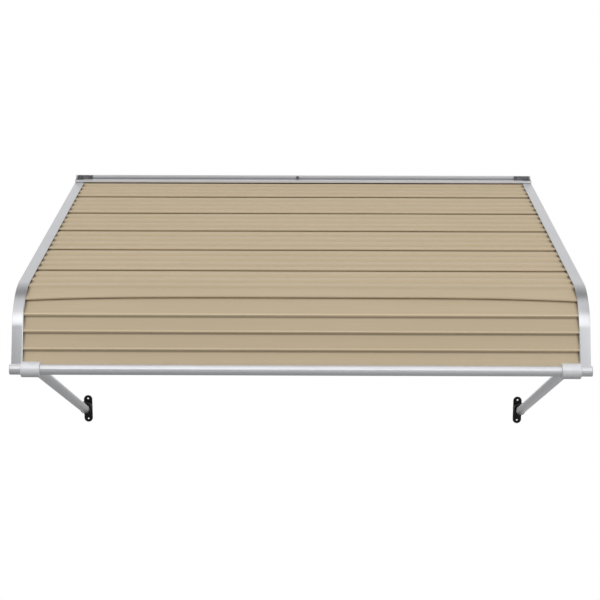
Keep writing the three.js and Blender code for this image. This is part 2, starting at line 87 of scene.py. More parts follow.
HEADER_WALL = 0.0016
HEADER_RISE = 0.0126
HEADER_LEDGE = 0.0266
HEADER_LIP = 0.0064
BRACKET_LENGTH = 0.045
BRACKET_INSET = 0.005
BRACKET_HEIGHT = 0.0114
BRACKET_FOOT_LENGTH = 0.022
BRACKET_FOOT_DEPTH = 0.015
BRACKET_PLATE = 0.0012

TUBE_WALL = 0.0014
COLLAR_LENGTH = 0.045
PLUG_FLANGE = 0.0014
PLUG_DEPTH = 0.009
STRUT_BAR_INSET = 0.064
STRUT_BEND = 0.045
STRUT_STUB = 0.026
SPIGOT_REACH = 0.055
SOCKET_INSET = 0.0095
SOCKET_DROP = 0.711
SOCKET_PLATE = 0.004
SOCKET_WIDTH = 0.026
SOCKET_HEIGHT = 0.086
SOCKET_SHIFT = 0.0055
SOCKET_PLATE_DROP = 0.006
SOCKET_HOLES = 0.065
SOCKET_HOLE = 0.0052
SOCKET_CUP_WALL = 0.006
SOCKET_CUP_DEPTH = 0.015
SEAT_GAP = 0.0003
LIP_GAP = 0.0006

# Screw heads: width, height, shank
WALL_SCREW = (0.010, 0.0032, 0.0046)
SMALL_SCREW = (0.007, 0.0022, 0.0034)
WALL_SCREW_INSET = 0.045
CENTRE_SCREW_SHIFT = -0.0166
SLAT_SCREW_INSET = 0.012

SIDES = ((-1, "left"), (1, "right"))

# How finely round shapes are drawn
ROUND = 96
BEND_STEPS = 72
FOLD_STEPS = 7
SLAT_STATIONS = 59

# Sizes read from the frame
bar_low, bar_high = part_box("front_bar")
bar_end = bar_high.x
bar_axis = (bar_low + bar_high) / 2
bar_radius = (bar_high.z - bar_low.z) / 2
collar_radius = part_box("bar_collar_left")[1].z - bar_axis.z
half_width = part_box("wall_header")[1].x
header_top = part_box("wall_header")[1].z
collar_outer = half_width - RAFTER_FACE - SEAT_GAP
slat_half = half_width - RAFTER_WALL - SLAT_END_GAP

nose_depth = RAFTER_WALL + NOSE_GAP
rafter_depth = nose_depth + PAN_STEP + TROUGH_DROP + SHEET + SEAT_GAP + RAFTER_WALL
bar_standoff = bar_radius + SEAT_GAP
collar_half_chord = math.sqrt(collar_radius ** 2 - (bar_standoff + nose_depth) ** 2)
bend_reach = BEND_RADIUS * (math.sin(FRONT_ANGLE) - math.sin(SLOPE_ANGLE))
front_reach = FRONT_LEG * math.cos(FRONT_ANGLE) + bar_standoff * math.sin(FRONT_ANGLE) + bar_radius
slope_run = (PROJECTION - front_reach - bend_reach) / math.cos(SLOPE_ANGLE)
bend_run = BEND_RADIUS * (FRONT_ANGLE - SLOPE_ANGLE)
front_start = slope_run + bend_run
bar_run = front_start + FRONT_LEG
bend_nose = slope_run + BEND_NOSE_LEAD
pan_pitch = (bend_nose - FIRST_NOSE) / ((SLATS - 2) * PANS + PANS - 2)
face_rise = PAN_STEP / (pan_pitch - BEVEL_RUN)
ledge_z = header_top - HEADER_RISE
lip_bottom = ledge_z - HEADER_LIP
face_at_wall = lip_bottom - LIP_GAP + HEADER_LEDGE * math.tan(SLOPE_ANGLE)


def face_point(run, depth):
    """(y, z, angle) at a distance along the rafters' face line and at a depth below it."""
    bent = min(max(run - slope_run, 0), bend_run)
    angle = SLOPE_ANGLE + bent / BEND_RADIUS
    slope = min(run, slope_run)
    front = max(run - front_start, 0)
    out = slope * math.cos(SLOPE_ANGLE) + BEND_RADIUS * (math.sin(angle) - math.sin(SLOPE_ANGLE))
    out += front * math.cos(FRONT_ANGLE)
    down = slope * math.sin(SLOPE_ANGLE) + BEND_RADIUS * (math.cos(SLOPE_ANGLE) - math.cos(angle))
    down += front * math.sin(FRONT_ANGLE)
    return -out + depth * math.sin(angle), face_at_wall - down - depth * math.cos(angle), angle


def face_normal(run):
    angle = face_point(run, 0)[2]
    return Vector((0, -math.sin(angle), math.cos(angle)))


class Wire:
    """A shader socket that Python's operators work on; each operator adds a Math node."""

    def __init__(self, finish, socket):
        self.finish = finish
        self.socket = socket

    def maths(self, operation, *others):
        return self.finish.node("ShaderNodeMath", {"operation": operation}, dict(enumerate((self, *others))))

    def __add__(self, other):
        return self.maths("ADD", other)

    __radd__ = __add__

    def __sub__(self, other):
        return self.maths("SUBTRACT", other)

    def __rsub__(self, other):
        return self.maths("MULTIPLY", -1.0) + other

    def __mul__(self, other):
        return self.maths("MULTIPLY", other)

    __rmul__ = __mul__

    def coordinate(self, axis):
        """One coordinate of a vector."""
        return self.finish.node("ShaderNodeSeparateXYZ", {}, {"Vector": self}, output=axis)

    def between(self, low, high):
        """0 at low and under, 1 at high and over."""
        settings = {"interpolation_type": "SMOOTHSTEP"}
        inputs = {"Value": self, "From Min": low, "From Max": high}
        return self.finish.node("ShaderNodeMapRange", settings, inputs)


class Finish:
    """A material's or the world's node tree, cleared and ready to be filled."""

    def __init__(self, owner):
        owner.use_nodes = True
        self.owner = owner
        self.tree = owner.node_tree
        self.tree.nodes.clear()

    def node(self, kind, settings=None, inputs=None, output=0):
        made = self.tree.nodes.new(kind)
        for name, value in (settings or {}).items():
            if name == "stops":
                ramp_stops(made.color_ramp, value)
            else:
                setattr(made, name, value)
        for key, value in (inputs or {}).items():
            if isinstance(value, Wire):
                self.tree.links.new(value.socket, made.inputs[key])
            else:
                made.inputs[key].default_value = value
        return Wire(self, made.outputs[output]) if made.outputs else None

    def blend(self, factor, first, second):
        return self.node("ShaderNodeMix", {"data_type": "RGBA"}, {0: factor, 6: first, 7: second}, output=2)

    def vector(self, operation, first, second, output=0):
        return self.node("ShaderNodeVectorMath", {"operation": operation}, {0: first, 1: second}, output)

    def spot(self):
        return self.node("ShaderNodeTexCoord", output="Object")

    def grain(self, vector, scale, detail=3, roughness=0.55):
        inputs = {"Vector": vector, "Scale": scale, "Detail": detail, "Roughness": roughness}
        return self.node("ShaderNodeTexNoise", {}, inputs)

    def bump(self, height, strength, distance):
        return self.node("ShaderNodeBump", {}, {"Height": height, "Strength": strength, "Distance": distance})

    def surface(self, shader):
        self.node("ShaderNodeOutputMaterial", {}, {"Surface": shader})
        return self.owner


def ramp_stops(ramp, stops):
    while len(ramp.elements) > 1:
        ramp.elements.remove(ramp.elements[-1])
    ramp.elements[0].position, ramp.elements[0].color = stops[0][0], grey(stops[0][1])
    for position, level in stops[1:]:
        ramp.elements.new(position).color = grey(level)


def grey(level):
    return (level, level, level, 1)


def scaled(colour, share):
    return tuple(channel * share for channel in colour[:3]) + (1,)


SILVER = (0.60, 0.605, 0.625, 1)
TAN = (0.532, 0.434, 0.298, 1)
TAN_CLOUD = (0.522, 0.430, 0.290, 1)

# How dark the metal's painted shade is, and how much of it is painted on the bar's underside
PAINTED_SHADE_TONE = 0.38
BAR_PAINTED_SHADE = 0.48
# The sheet's tone with a painted highlight on a nose, painted shade in a valley and painted shadow in the
# pockets, against its own
NOSE_HIGHLIGHT_TONE = 1.3
VALLEY_SHADE_TONE = 0.7
POCKET_SHADOW_TONE = 0.3
# The part of the grain's range that a finish goes through from dark to light
GRAIN_RANGE = (0.3, 0.7)
# How far drawing lines are stretched along the piece: 1 would make them endless
LINE_STRETCH = 0.985


def silver(name, tone=1.0, metal=1.0, polish=0.24, squeeze=None, along=None, painted_shade=None):
    """Satin aluminium with drawing lines that run the way the piece was drawn; a given mask paints shade where
    it is 1.
    """
    finish = Finish(bpy.data.materials.new(name))
    place = finish.spot()
    if along is None:
        lined = finish.vector("MULTIPLY", place, squeeze)
    else:
        share = finish.vector("DOT_PRODUCT", place, along, output="Value") * LINE_STRETCH
        lined = finish.vector("SUBTRACT", place, finish.vector("MULTIPLY", share, along))
    lines = finish.grain(lined, 900, detail=4, roughness=0.6)
    cloud = finish.grain(place, 9, detail=2)
    mottle = finish.grain(place, 60, detail=3)
    dark = scaled(SILVER, tone * 0.965)
    light = scaled(SILVER, tone * 1.03)
    shade = finish.blend(lines.between(*GRAIN_RANGE), dark, light)
    shade = finish.blend(cloud.between(0.35, 0.75) * 0.5, shade, scaled(SILVER, tone * 0.93))
    # Painted shade, where the given mask is 1
    if painted_shade is not None:
        shade = finish.blend(painted_shade(place), shade, scaled(SILVER, tone * PAINTED_SHADE_TONE))
    height = lines + mottle * 0.4
    shader = finish.node("ShaderNodeBsdfPrincipled", {}, {
        "Base Color": shade,
        "Metallic": metal,
        "Roughness": polish + lines * 0.05 + mottle * 0.04,
        "Normal": finish.bump(height, 0.12, 0.0001),
    })
    return finish.surface(shader)


def header_corner_shade(place):
    """1 in the corner between the header's web and its ledge, where shade is painted in."""
    on_web = place.coordinate("Y").between(-HEADER_WALL - 0.0006, -HEADER_WALL - 0.0002)
    return (1 - place.coordinate("Z").between(ledge_z + 0.001, header_top - 0.001)) * on_web


def bar_underside_shade(place):
    """How much painted shade darkens the bar below its top, which keeps the lighter tone as a painted
    highlight.
    """
    lit_top = place.coordinate("Z").between(bar_axis.z + 0.007, bar_axis.z + 0.0112)
    return (1 - lit_top) * BAR_PAINTED_SHADE


def moulded_silver():
    """The sleeves' paler, blasted finish."""
    finish = Finish(bpy.data.materials.new("blasted_silver"))
    place = finish.spot()
    fine = finish.grain(place, 1400, detail=2)
    cloud = finish.grain(place, 40, detail=3)
    shade = finish.blend(cloud.between(*GRAIN_RANGE), scaled(SILVER, 1.22), scaled(SILVER, 1.30))
    shader = finish.node("ShaderNodeBsdfPrincipled", {}, {
        "Base Color": shade,
        "Metallic": 0.2,
        "Roughness": 0.36 + fine * 0.06,
        "Normal": finish.bump(fine, 0.15, 0.0001),
    })
    return finish.surface(shader)


def tan_sheet():
    """Coil-coated sheet: an even satin coat with faint rolling lines and a little orange peel; highlights and
    shade are painted on its folds, and shadow in the pockets and under the header's lip.
    """
    finish = Finish(bpy.data.materials.new("tan_sheet"))
    place = finish.spot()
    rolled = finish.grain(finish.vector("MULTIPLY", place, (0.012, 1, 1)), 420, detail=3)
    cloud = finish.grain(finish.vector("MULTIPLY", place, (0.35, 1, 1)), 7, detail=3)
    peel = finish.grain(place, 900, detail=2)
    shade = finish.blend(rolled.between(*GRAIN_RANGE), scaled(TAN, 0.975), scaled(TAN, 1.02))
    shade = finish.blend(cloud.between(0.35, 0.7) * 0.6, shade, scaled(TAN_CLOUD, 0.97))
    fold = finish.node("ShaderNodeAttribute", {"attribute_name": "fold"}, output="Fac")
    pocket = finish.node("ShaderNodeAttribute", {"attribute_name": "pocket"}, output="Fac")
    # Painted shade on the sheet just under the header's lip
    under_lip_shade = place.coordinate("Y").between(-HEADER_LEDGE - 0.0025, -HEADER_LEDGE - 0.001)
    # Painted highlights on the noses and painted shade in the valleys
    shade = finish.blend(fold.maths("MAXIMUM", 0.0), shade, scaled(TAN, NOSE_HIGHLIGHT_TONE))
    shade = finish.blend((fold * -1).maths("MAXIMUM", 0.0), shade, scaled(TAN, VALLEY_SHADE_TONE))
    # Painted shadow in the pockets under the rafters' edges and under the header's lip
    shade = finish.blend(pocket.maths("MAXIMUM", under_lip_shade) * 0.8, shade, scaled(TAN, POCKET_SHADOW_TONE))
    shader = finish.node("ShaderNodeBsdfPrincipled", {}, {
        "Base Color": shade,
        "Roughness": 0.46 + rolled * 0.06 + cloud * 0.06,
        "Normal": finish.bump(rolled * 0.6 + peel * 0.25, 0.10, 0.0001),
        "Specular IOR Level": 0.2,
    })
    return finish.surface(shader)


def black_moulding():
    """Satin black moulding with a fine spark-eroded grain and a paler painted highlight on the cup's rim."""
    finish = Finish(bpy.data.materials.new("black_moulding"))
    place = finish.spot()
    fine = finish.grain(place, 1800, detail=3)
    cloud = finish.grain(place, 70, detail=3)
    cup_tip = SOCKET_PLATE + SOCKET_CUP_DEPTH
    # A paler painted highlight on the cup's rim
    rim_highlight = 1 - place.coordinate("Y").between(-cup_tip + 0.0002, -cup_tip + 0.002)
    shade = finish.blend(cloud.between(0.4, 0.8), (0.010, 0.010, 0.011, 1), (0.020, 0.020, 0.021, 1))
    shade = finish.blend(rim_highlight * (0.6 + cloud * 0.4), shade, (0.06, 0.06, 0.063, 1))
    shader = finish.node("ShaderNodeBsdfPrincipled", {}, {
        "Base Color": shade,
        "Roughness": 0.44 + fine * 0.12,
        "Normal": finish.bump(fine, 0.2, 0.0001),
        "Specular IOR Level": 0.2,
    })
    return finish.surface(shader)


def grey_steel():
    """Dark zinc-coated steel, with the coating's crystals."""
    finish = Finish(bpy.data.materials.new("grey_steel"))
    place = finish.spot()
    crystals = finish.node("ShaderNodeTexVoronoi", {}, {"Vector": place, "Scale": 330}, output="Color")
    tone = finish.node("ShaderNodeSeparateColor", {}, {"Color": crystals}, output="Red")
    fine = finish.grain(place, 1500, detail=3)
    shade = finish.blend(tone, (0.10, 0.10, 0.108, 1), (0.24, 0.24, 0.25, 1))
    shader = finish.node("ShaderNodeBsdfPrincipled", {}, {
        "Base Color": shade,
        "Metallic": 0.8,
        "Roughness": 0.42 + tone * 0.12,
        "Normal": finish.bump(fine + tone, 0.25, 0.0002),
    })
    return finish.surface(shader)


def screw_steel():
    """Zinc-plated screw steel with faint turning marks."""
    finish = Finish(bpy.data.materials.new("screw_steel"))
    place = finish.spot()
    fine = finish.grain(place, 2600, detail=3)
    cloud = finish.grain(place, 300, detail=2)
    shade = finish.blend(cloud.between(0.35, 0.7), (0.12, 0.122, 0.125, 1), (0.20, 0.203, 0.207, 1))
    shader = finish.node("ShaderNodeBsdfPrincipled", {}, {
        "Base Color": shade,
        "Metallic": 1.0,
        "Roughness": 0.30 + fine * 0.12,
        "Normal": finish.bump(fine, 0.15, 0.0001),
    })
    return finish.surface(shader)


# Mesh making
def piece(name, vertices, faces, material, node, marks=None, soft_angle=math.radians(32)):
    """Makes one piece from its mesh, puts it on the root body and lets it stand for a CAD node.

    marks holds lists of one value per vertex, by the name that the material reads them under.
    """
    mesh = bpy.data.meshes.new(name)
    mesh.from_pydata([tuple(vertex) for vertex in vertices], [], faces)
    for label, values in (marks or {}).items():
        mesh.attributes.new(label, "FLOAT", "POINT").data.foreach_set("value", values)
    mesh.validate()
    obj = bpy.data.objects.new(name, mesh)
    bpy.context.scene.collection.objects.link(obj)
    return dressed(obj, material, node, soft_angle)


def dressed(obj, material, node, soft_angle=math.radians(32)):
    mesh = obj.data
    mesh.materials.clear()
    mesh.materials.append(material)
    mesh.shade_smooth()
    mesh.set_sharp_from_angle(angle=soft_angle)
    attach(obj, "root")
    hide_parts(node)
    return obj


def loft(rings, looped=False):
    """Vertices and faces that join equal rings; a looped loft closes on its first ring, others are capped."""
    count = len(rings[0])
    vertices = [Vector(point) for ring in rings for point in ring]
    faces = []
    links = len(rings) if looped else len(rings) - 1
    for ring in range(links):
        here = ring * count
        there = ((ring + 1) % len(rings)) * count
        for at in range(count):
            ahead = (at + 1) % count
            faces.append((here + at, here + ahead, there + ahead, there + at))
    if not looped:
        last = (len(rings) - 1) * count
        faces.append(tuple(reversed(range(count))))
        faces.append(tuple(range(last, last + count)))
    return outward(vertices, faces)


def outward(vertices, faces):
    """Turns all faces over if they enclose a negative volume."""
    volume = 0
    for face in faces:
        first = vertices[face[0]]
        for at in range(1, len(face) - 1):
            volume += first.dot(vertices[face[at]].cross(vertices[face[at + 1]]))
    if volume < 0:
        faces = [tuple(reversed(face)) for face in faces]
    return vertices, faces


def turned(profile, centre, axis, sides=ROUND):
    """A closed profile of (radius, height) points turned about an axis; points on the axis become poles."""
    axis = Vector(axis).normalized()
    across = axis.orthogonal().normalized()
    side = axis.cross(across)
    spokes = []
    for step in range(sides):
        angle = 2 * math.pi * step / sides
        spokes.append(across * math.cos(angle) + side * math.sin(angle))
    vertices = []
    rows = []
    for radius, height in profile:
        start = len(vertices)
        if radius == 0:
            vertices.append(centre + axis * height)
            rows.append([start] * sides)
        else:
            vertices += [centre + axis * height + spoke * radius for spoke in spokes]
            rows.append([start + step for step in range(sides)])
    faces = []
    joined = list(zip(rows, rows[1:]))
    if profile[0][0] > 0:
        joined.append((rows[-1], rows[0]))
    for low, high in joined:
        for step in range(sides):
            ahead = (step + 1) % sides
            corners = (low[step], low[ahead], high[ahead], high[step])
            kept = tuple(dict.fromkeys(corners))
            if len(kept) > 2:
                faces.append(kept)
    return outward(vertices, faces)


def rounded_corner(before, here, after, radius):
    """Points of the arc that rounds one corner."""
    into = (before - here).normalized()
    onward = (after - here).normalized()
    half = into.angle(onward) / 2
    centre = here + (into + onward).normalized() * radius / math.sin(half)
    first = here + into * radius / math.tan(half) - centre
    last = here + onward * radius / math.tan(half) - centre
    turn = math.atan2(first.x * last.y - first.y * last.x, first.dot(last))
    return [centre + Matrix.Rotation(turn * step / FOLD_STEPS, 2) @ first for step in range(FOLD_STEPS + 1)]


def rounded_line(corners, closed=False):
    """Rounds the corners of a line of (u, v, radius) points."""
    spots = [Vector(corner[:2]) for corner in corners]
    points = []
    count = len(corners)
    for at, corner in enumerate(corners):
        inner = closed or 0 < at < count - 1
        if corner[2] == 0 or not inner:
            points.append(spots[at])
        else:
            points += rounded_corner(spots[at - 1], spots[at], spots[(at + 1) % count], corner[2])
    return points


def thickened(line, thickness):
    """The closed outline of a sheet that follows an open line."""
    inner = []
    for at, point in enumerate(line):
        into = (point - line[at - 1]).normalized() if at > 0 else (line[1] - point).normalized()
        onward = (line[at + 1] - point).normalized() if at < len(line) - 1 else into
        middle = (into + onward).normalized()
        inner.append(point + Vector((middle.y, -middle.x)) * thickness / middle.dot(into))
    return list(line) + inner[::-1]


# Roof slats
def slat_noses(slat):
    if slat < SLATS - 1:
        return [FIRST_NOSE + (slat * PANS + pan) * pan_pitch for pan in range(PANS)]
    return [front_start - FRONT_NOSE_LEAD + pan * pan_pitch for pan in range(PANS)]


def bend_joint(spread):
    """Where slat 6 ends and slat 7 begins: it droops towards the rafters."""
    return bend_nose + pan_pitch + JOINT_EASE + JOINT_DROOP * spread ** 4


def chord_drop(nose, distance):
    """How far slat 6's last pan, which is flat, lies below the bend's round, at a distance from its nose."""
    chord = nose - bend_nose - BEVEL_RUN
    return distance * (chord - distance) / (2 * BEND_RADIUS)


def slat_corners(slat, spread):
    """The sheet's outer line as (run, depth, radius), for one place across the canopy."""
    last = slat == SLATS - 1
    noses = slat_noses(slat)
    start = bend_joint(spread) if last else noses[0] - pan_pitch
    if slat == SLATS - 2:
        noses[-1] = bend_joint(spread)
    trim = bar_run - collar_half_chord - SLAT_ROOM
    if last:
        noses = [nose for nose in noses if nose + BEVEL_RUN < trim]
    if slat == 0:
        line = [(FIRST_SLAT_START, PAN_STEP + TROUGH_DROP + SHEET, 0)]
        line.append((FIRST_SLAT_START, (noses[0] - FIRST_SLAT_START) * face_rise, FOLD_RADIUS))
    else:
        hook = start - HOOK_REACH
        trough = PAN_STEP + TROUGH_DROP
        rim = hook + TROUGH_WIDTH
        depth = PAN_STEP * (noses[0] - rim) / (noses[0] - start - BEVEL_RUN)
        tip = HOOK_TIP + (chord_drop(start, HOOK_REACH) if last else 0)
        line = [(hook, tip, 0), (hook, trough, FOLD_RADIUS)]
        line += [(rim, trough, FOLD_RADIUS), (rim, depth, FOLD_RADIUS)]
    for pan, nose in enumerate(noses):
        line.append((nose, 0, NOSE_RADIUS))
        if last or pan < PANS - 1:
            line.append((nose + BEVEL_RUN, PAN_STEP, VALLEY_RADIUS))
    end = noses[-1]
    if last:
        depth = PAN_STEP - (trim - end - BEVEL_RUN) * face_rise
        line += [(trim, depth, FOLD_RADIUS), (trim, depth + END_HEM, 0)]
    else:
        line += [(end + LIP_REACH, LIP_DROP, FOLD_RADIUS), (end + LIP_REACH, LIP_DEPTH, FOLD_RADIUS)]
        line.append((end - HEM_RETURN, LIP_DEPTH, 0))
    return line


# How high the sheets' swells are
WAVE_HEIGHT = 0.00035


def wave(slat, x, run):
    """How far rolled sheet strays from flat there: long shallow swells that die out in the rafters."""
    swell = noise.noise(Vector((x * 3.1, run * 4.0, 7.3)))
    ripple = noise.noise(Vector((x * 9.0, run * 11.0, slat * 3.7 + 40)))
    held = 1 - (abs(x) / slat_half) ** 6
    return WAVE_HEIGHT * (swell + 0.3 * ripple) * held


# How far the painted highlight of a nose and the painted shade of a valley reach over the pan's face
NOSE_GLOW = 0.0045
VALLEY_SHADE = 0.003
# The painted highlights and shade on the folds show this strongly on the front slat, and this strongly on the
# slope
FRONT_FOLD_LIGHT = 1.0
SLOPE_FOLD_LIGHT = 0.06
# How far in from each rafter's face the painted shadow of the pockets reaches
POCKET_SHADOW_WIDTH = 0.006


def marked_corners(slat, x):
    """The slat's corners there as (u, v, radius, mark, sink).

    The mark is 1 on a nose, where a highlight is painted, and -1 in a valley, where shade is painted; sink is
    the share of the pan's depth. Each face gets two more corners, where the painted marks of its nose and its
    valley end.
    """
    strength = FRONT_FOLD_LIGHT if slat == SLATS - 1 else SLOPE_FOLD_LIGHT
    marks = {NOSE_RADIUS: strength, VALLEY_RADIUS: -strength}
    marked = []
    for run, depth, radius in slat_corners(slat, x / slat_half):
        y, z, _ = face_point(run, nose_depth + depth + wave(slat, x, run))
        sink = min(depth / PAN_STEP, 1)
        here = Vector((-y, z))
        if marked and (radius == NOSE_RADIUS or marked[-1][3] < 0):
            before = Vector(marked[-1][:2])
            before_sink = marked[-1][4]
            span = (here - before).length
            for share in (VALLEY_SHADE / span, 1 - NOSE_GLOW / span):
                marked.append((*before.lerp(here, share), 0, 0, before_sink + (sink - before_sink) * share))
        marked.append((*here, radius, marks.get(radius, 0), sink))
    return marked


def slat_ring(slat, x):
    """The outline of a slat there, and its painted light and shadow marks, one for each point."""
    corners = marked_corners(slat, x)
    line = rounded_line([corner[:3] for corner in corners])
    fold_lights = []
    sinks = []
    for at, (_, _, radius, fold, sink) in enumerate(corners):
        rounded = radius > 0 and 0 < at < len(corners) - 1
        repeats = FOLD_STEPS + 1 if rounded else 1
        fold_lights += [fold] * repeats
        sinks += [sink] * repeats
    closeness = max(0, 1 - max(0, half_width - RAFTER_FACE - abs(x)) / POCKET_SHADOW_WIDTH)
    pocket_shadows = [sink * closeness for sink in sinks]
    outline = [(x, -point.x, point.y) for point in thickened(line, SHEET)]
    return outline, fold_lights + fold_lights[::-1], pocket_shadows + pocket_shadows[::-1]


def make_slats(material):
    shown_half = half_width - RAFTER_FACE
    inner = shown_half - POCKET_SHADOW_WIDTH
    stations = [inner * (2 * step / (SLAT_STATIONS - 1) - 1) for step in range(SLAT_STATIONS)]
    stations = [-slat_half, -shown_half] + stations + [shown_half, slat_half]
    for slat in range(SLATS):
        rings, fold_lights, pocket_shadows = zip(*(slat_ring(slat, x) for x in stations))
        vertices, faces = loft(rings)
        marks = {"fold": sum(fold_lights, []), "pocket": sum(pocket_shadows, [])}
        piece(f"roof_slat_{slat + 1}", vertices, faces, material, f"slat_{slat + 1}", marks)


# Side rafters
def make_rafter(side, name, material):
    edge = 0.0004
    tight = 0.0003
    section = [
        (0, 0, edge * 2),
        (RAFTER_FACE - LIP_WIDTH, 0, LIP_WIDTH * 0.6),
        (RAFTER_FACE, LIP_FALL, tight),
        (RAFTER_FACE, RAFTER_WALL, tight * 0.5),
        (RAFTER_WALL, RAFTER_WALL, edge),
        (RAFTER_WALL, rafter_depth - RAFTER_WALL, edge),
        (RAFTER_BACK, rafter_depth - RAFTER_WALL, edge),
        (RAFTER_BACK, rafter_depth, edge),
        (0, rafter_depth, edge * 2),
    ]
    outline = rounded_line(section, closed=True)
    runs = [RAFTER_WALL_GAP]
    runs += [slope_run + bend_run * step / BEND_STEPS for step in range(BEND_STEPS + 1)]
    runs.append(bar_run + RAFTER_OVERRUN)
    rings = []
    for run in runs:
        ring = []
        for inset, depth in outline:
            y, z, _ = face_point(run, depth)
            ring.append((side * (half_width - inset), y, z))
        rings.append(ring)
    vertices, faces = loft(rings)
    piece(f"side_rafter_{name}", vertices, faces, material, f"rafter_{name}")


# Header on the wall
def make_header(material):
    edge = 0.0003
    section = [
        (0, header_top),
        (HEADER_WALL, header_top),
        (HEADER_WALL, ledge_z),
        (HEADER_LEDGE, ledge_z),
        (HEADER_LEDGE, lip_bottom),
        (HEADER_LEDGE - HEADER_WALL, lip_bottom),
        (HEADER_LEDGE - HEADER_WALL, ledge_z - HEADER_WALL),
        (HEADER_WALL, ledge_z - HEADER_WALL),
        (HEADER_WALL, HEADER_WALL - header_top),
        (HEADER_LEDGE, HEADER_WALL - header_top),
        (HEADER_LEDGE, -header_top),
        (0, -header_top),
    ]
    outline = rounded_line([(out, z, edge) for out, z in section], closed=True)
    rings = [[(x, -point.x, point.y) for point in outline] for x in (-half_width, half_width)]
    vertices, faces = loft(rings)
    piece("header_strip", vertices, faces, material, "wall_header")


def soft_block(low, high, edge):
    """A block with rounded upright edges, as vertices and faces."""
    corners = [(low.x, low.z), (high.x, low.z), (high.x, high.z), (low.x, high.z)]
    outline = rounded_line([(x, z, edge) for x, z in corners], closed=True)
    rings = [[(point.x, y, point.y) for point in outline] for y in (low.y, high.y)]
    return loft(rings)


def make_bracket(side, name, material):
    """A small angle: its leg lies on the header's web, its foot on the ledge."""
    back = -HEADER_WALL - SEAT_GAP
    foot_z = ledge_z + SEAT_GAP
    outer = half_width - BRACKET_INSET
    edge = 0.0004
    angle = [
        (0, BRACKET_HEIGHT, edge),
        (0, 0, edge),
        (BRACKET_FOOT_DEPTH, 0, edge),
        (BRACKET_FOOT_DEPTH, BRACKET_PLATE, edge),
        (BRACKET_PLATE, BRACKET_PLATE, edge),
        (BRACKET_PLATE, BRACKET_HEIGHT, edge),
    ]
    leg = angle[:2] + [(BRACKET_PLATE, 0, 0), (BRACKET_PLATE, BRACKET_HEIGHT, edge)]
    stretches = [
        (angle, half_width - SEAT_GAP - BRACKET_FOOT_LENGTH, outer),
        (leg, outer - BRACKET_LENGTH, half_width - SEAT_GAP - BRACKET_FOOT_LENGTH),
    ]
    solids = []
    for at, (section, inner, far) in enumerate(stretches):
        outline = rounded_line(section, closed=True)
        overlap = 0.0005 * at
        ends = (side * inner, side * (far + overlap))
        rings = [[(x, back - point.x, foot_z + point.y) for point in outline] for x in ends]
        solids.append(loose(f"bracket_{name}_{at}", *loft(rings)))
    toe_left, toe_right = sorted((side * (outer - 0.001), side * (half_width - SEAT_GAP)))
    low = Vector((toe_left, back - BRACKET_FOOT_DEPTH, foot_z))
    high = Vector((toe_right, back, foot_z + BRACKET_PLATE))
    solids.append(loose(f"bracket_{name}_toe", *soft_block(low, high, edge)))
    body = combined(solids[0], solids[1:], "UNION")
    body.name = f"end_bracket_{name}"
    dressed(body, material, f"header_bracket_{name}")


def loose(name, vertices, faces):
    """A mesh object that isn't a piece yet."""
    mesh = bpy.data.meshes.new(name)
    mesh.from_pydata([tuple(vertex) for vertex in vertices], [], faces)
    obj = bpy.data.objects.new(name, mesh)
    bpy.context.scene.collection.objects.link(obj)
    return obj


def combined(base, tools, operation):
    """Joins or cuts base with the tools and removes them."""
    for tool in tools:
        cutter = base.modifiers.new("boolean", "BOOLEAN")
        cutter.operation = operation
        cutter.solver = "EXACT"
        cutter.object = tool
    bpy.context.view_layer.update()
    graph = bpy.context.evaluated_depsgraph_get()
    mesh = bpy.data.meshes.new_from_object(base.evaluated_get(graph))
    base.modifiers.clear()
    base.data = mesh
    for tool in tools:
        bpy.data.objects.remove(tool)
    return base


# Front bar, plugs and collars
def make_bar(material):
    inner = bar_radius - TUBE_WALL
    edge = 0.0003
    length = 2 * bar_end
    profile = [
        (bar_radius - edge, 0),
        (bar_radius, edge),
        (bar_radius, length - edge),
        (bar_radius - edge, length),
        (inner, length),
        (inner, 0),
    ]
    start = Vector((-bar_end, bar_axis.y, bar_axis.z))
    vertices, faces = turned(profile, start, (1, 0, 0))
    piece("round_bar", vertices, faces, material, "front_bar")


def arc(centre_radius, centre_height, radius, start, end, steps):
    """Profile points on a quarter round, angles in degrees from the outward direction."""
    points = []
    for step in range(steps + 1):
        angle = math.radians(start + (end - start) * step / steps)
        points.append((centre_radius + radius * math.cos(angle), centre_height + radius * math.sin(angle)))
    return points


def make_plug(side, name, material):
    fit = bar_radius - TUBE_WALL - SEAT_GAP
    rim = 0.0011
    top = SEAT_GAP + PLUG_FLANGE
    profile = [(0, -PLUG_DEPTH), (fit - rim, -PLUG_DEPTH), (fit, rim - PLUG_DEPTH), (fit, SEAT_GAP)]
    profile.append((bar_radius, SEAT_GAP))
    profile += arc(bar_radius - rim, top - rim, rim, 0, 90, 6)
    profile.append((0, top))
    start = Vector((side * bar_end, bar_axis.y, bar_axis.z))
    vertices, faces = turned(profile, start, (side, 0, 0))
    piece(f"end_plug_{name}", vertices, faces, material, f"bar_plug_{name}")


COLLAR_OUTER_ROUND = 0.0026
COLLAR_INNER_ROUND = 0.0009


